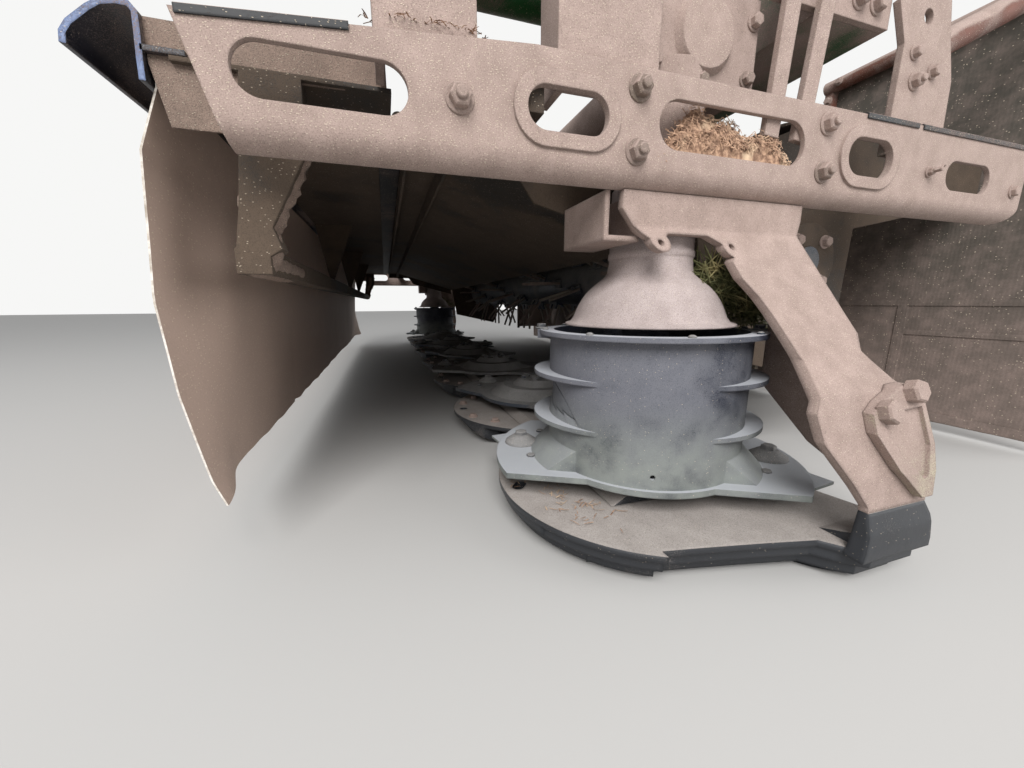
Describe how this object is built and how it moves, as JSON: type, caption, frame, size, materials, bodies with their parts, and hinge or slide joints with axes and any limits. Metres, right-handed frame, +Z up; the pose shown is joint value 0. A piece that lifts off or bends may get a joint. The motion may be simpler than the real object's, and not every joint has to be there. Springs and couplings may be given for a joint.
{
  "type": "front-mounted disc mower conditioner",
  "caption": "Front-mounted disc mower conditioner: oval discs on a flat bar, finned end drums, tine rotor, hoods, curtains, three-point headstock.",
  "frame": {"origin": "centre of the footprint of the whole part, on the ground", "axes": "+X along the cutterbar towards the machine's left end, +Y towards the tractor's side with the headstock, +Z up"},
  "size_m": [3.024, 1.728, 1.114],
  "materials": {
    "green_paint": "semi-gloss, dusty",
    "dusty_paint": "matt, coated with chaff dust",
    "disc_steel": "worn, dusty",
    "bare_steel": "dull",
    "black_paint": "satin, dusty",
    "curtain_rubber": "matt, dusty",
    "curtain_cloth": "coated cloth, dusty",
    "rust_paint": "faded, rusty"
  },
  "bodies": {
    "frame": {"cutterbar": "disc_steel", "guards": "disc_steel", "end_shoe_left": "disc_steel", "end_shoe_right": "disc_steel", "leg_left": "dusty_paint", "leg_right": "dusty_paint", "foot_bracket_left": "bare_steel", "foot_bracket_right": "bare_steel", "bell_left": "dusty_paint", "bell_right": "dusty_paint", "side_beam_left": "dusty_paint", "side_beam_right": "dusty_paint", "gearbox_left": "dusty_paint", "gearbox_right": "dusty_paint", "center_gearbox": "dusty_paint", "main_frame": "green_paint", "frame_posts": "dusty_paint", "cutter_hood": "dusty_paint", "conditioner_hood": "dusty_paint", "rear_plate_left": "bare_steel", "rear_plate_right": "bare_steel", "rear_guard_frame": "rust_paint", "rear_curtain": "curtain_cloth", "headstock": "green_paint", "lower_links": "green_paint", "upper_link": "bare_steel", "float_springs": "black_paint", "belt_cover": "dusty_paint"},
    "input_shaft": {"input_shaft": "bare_steel"},
    "rotor": {"rotor_tube": "disc_steel", "rotor_tines": "bare_steel"},
    "front_guard": {"front_guard": "dusty_paint", "nose_channel": "black_paint", "front_curtain": "curtain_rubber"},
    "swath_board_left": {"swath_board_left": "dusty_paint"},
    "swath_board_right": {"swath_board_right": "dusty_paint"},
    "stand_left": {"stand_left": "bare_steel"},
    "stand_right": {"stand_right": "bare_steel"},
    "disc_1": {"disc_1": "disc_steel"},
    "disc_2": {"disc_2": "disc_steel"},
    "disc_3": {"disc_3": "disc_steel"},
    "disc_4": {"disc_4": "disc_steel"},
    "disc_5": {"disc_5": "disc_steel"},
    "disc_6": {"disc_6": "disc_steel"},
    "disc_7": {"disc_7": "disc_steel"}
  },
  "joints": [
    {"name": "rotor_turn", "type": "hinge", "parent": "frame", "child": "rotor", "pos_m": [0, 0.063, 0.367], "axis": [1, 0, 0], "continuous": true},
    {"name": "input_turn", "type": "hinge", "parent": "frame", "child": "input_shaft", "pos_m": [0, -0.102, 0.83], "axis": [0, 1, 0], "continuous": true},
    {"name": "front_guard_lift", "type": "hinge", "parent": "frame", "child": "front_guard", "pos_m": [0, -0.604, 0.5143], "axis": [-1, 0, 0], "range_deg": [0, 75]},
    {"name": "swath_board_left_swing", "type": "hinge", "parent": "frame", "child": "swath_board_left", "pos_m": [0.95, 0.28, 0.31], "axis": [0, 0, 1], "range_deg": [0, 30]},
    {"name": "swath_board_right_swing", "type": "hinge", "parent": "frame", "child": "swath_board_right", "pos_m": [-0.95, 0.28, 0.31], "axis": [0, 0, -1], "range_deg": [0, 30]},
    {"name": "stand_left_slide", "type": "slide", "parent": "frame", "child": "stand_left", "axis": [0, 0, 1], "range_m": [0, 0.3]},
    {"name": "stand_right_slide", "type": "slide", "parent": "frame", "child": "stand_right", "axis": [0, 0, 1], "range_m": [0, 0.3]},
    {"name": "disc_1_turn", "type": "hinge", "parent": "frame", "child": "disc_1", "pos_m": [1.26, -0.282, 0.076], "axis": [0, 0, 1], "continuous": true},
    {"name": "disc_2_turn", "type": "hinge", "parent": "frame", "child": "disc_2", "pos_m": [0.84, -0.282, 0.076], "axis": [0, 0, 1], "continuous": true},
    {"name": "disc_3_turn", "type": "hinge", "parent": "frame", "child": "disc_3", "pos_m": [0.42, -0.282, 0.076], "axis": [0, 0, 1], "continuous": true},
    {"name": "disc_4_turn", "type": "hinge", "parent": "frame", "child": "disc_4", "pos_m": [0, -0.282, 0.076], "axis": [0, 0, 1], "continuous": true},
    {"name": "disc_5_turn", "type": "hinge", "parent": "frame", "child": "disc_5", "pos_m": [-0.42, -0.282, 0.076], "axis": [0, 0, 1], "continuous": true},
    {"name": "disc_6_turn", "type": "hinge", "parent": "frame", "child": "disc_6", "pos_m": [-0.84, -0.282, 0.076], "axis": [0, 0, 1], "continuous": true},
    {"name": "disc_7_turn", "type": "hinge", "parent": "frame", "child": "disc_7", "pos_m": [-1.26, -0.282, 0.076], "axis": [0, 0, 1], "continuous": true}
  ],
  "couplings": [
    {"joint": "input_turn", "follows": "rotor_turn", "ratio": 1.1111},
    {"joint": "disc_1_turn", "follows": "rotor_turn", "ratio": 3.3333},
    {"joint": "disc_2_turn", "follows": "rotor_turn", "ratio": -3.3333},
    {"joint": "disc_3_turn", "follows": "rotor_turn", "ratio": 3.3333},
    {"joint": "disc_4_turn", "follows": "rotor_turn", "ratio": -3.3333},
    {"joint": "disc_5_turn", "follows": "rotor_turn", "ratio": 3.3333},
    {"joint": "disc_6_turn", "follows": "rotor_turn", "ratio": -3.3333},
    {"joint": "disc_7_turn", "follows": "rotor_turn", "ratio": 3.3333}
  ]
}
